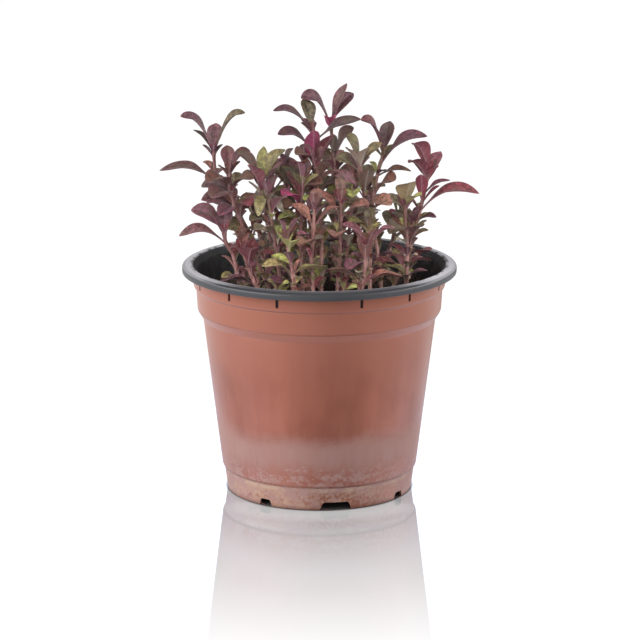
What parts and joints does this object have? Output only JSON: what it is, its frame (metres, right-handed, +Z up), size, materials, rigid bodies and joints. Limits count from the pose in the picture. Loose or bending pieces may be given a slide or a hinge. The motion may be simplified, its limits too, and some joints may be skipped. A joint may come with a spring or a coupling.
{
  "type": "potted alternanthera",
  "caption": "Young alternanthera with upright leafy shoots and spoon-shaped purple and olive leaves, in a slotted terracotta-coloured nursery pot with a black rolled rim.",
  "frame": {"origin": "middle of the pot's foot, on the surface that it stands on; the foliage reaches as far to the left as to the right of it", "axes": "+X to the right as the picture shows it, +Y to the back, +Z up along the pot's axis"},
  "size_m": [0.1388, 0.12, 0.178],
  "materials": {
    "terracotta_plastic": "satin terracotta-coloured plastic with a chalky bloom towards the foot",
    "black_plastic": "satin black plastic, dusty on the rim",
    "potting_soil": "dark crumbly peat",
    "foliage": "soft, slightly glossy leaves, purple to olive, on dusty pink stems"
  },
  "bodies": {
    "root": {"pot_inner_liner": "black_plastic", "pot_outer_shell": "terracotta_plastic", "shoot_filler_01": "foliage", "shoot_filler_02": "foliage", "shoot_filler_03": "foliage", "shoot_filler_04": "foliage", "shoot_filler_05": "foliage", "shoot_filler_06": "foliage", "shoot_filler_07": "foliage", "shoot_filler_08": "foliage", "shoot_filler_09": "foliage", "shoot_filler_10": "foliage", "shoot_filler_11": "foliage", "shoot_filler_12": "foliage", "shoot_filler_13": "foliage", "shoot_filler_14": "foliage", "shoot_filler_15": "foliage", "shoot_filler_16": "foliage", "shoot_filler_17": "foliage", "shoot_filler_18": "foliage", "shoot_filler_19": "foliage", "shoot_filler_20": "foliage", "shoot_filler_21": "foliage", "shoot_filler_22": "foliage", "shoot_filler_23": "foliage", "shoot_filler_24": "foliage", "shoot_funnel": "foliage", "shoot_green_round": "foliage", "shoot_grey_green": "foliage", "shoot_inner_left": "foliage", "shoot_inside_right": "foliage", "shoot_left_front": "foliage", "shoot_lime_sprout": "foliage", "shoot_low_left": "foliage", "shoot_olive_sprout": "foliage", "shoot_purple_mass": "foliage", "shoot_red_sprout": "foliage", "shoot_right": "foliage", "shoot_right_top": "foliage", "shoot_tall_left": "foliage", "shoot_tall_right": "foliage", "shoot_upper_left": "foliage", "soil": "potting_soil"}
  },
  "joints": []
}
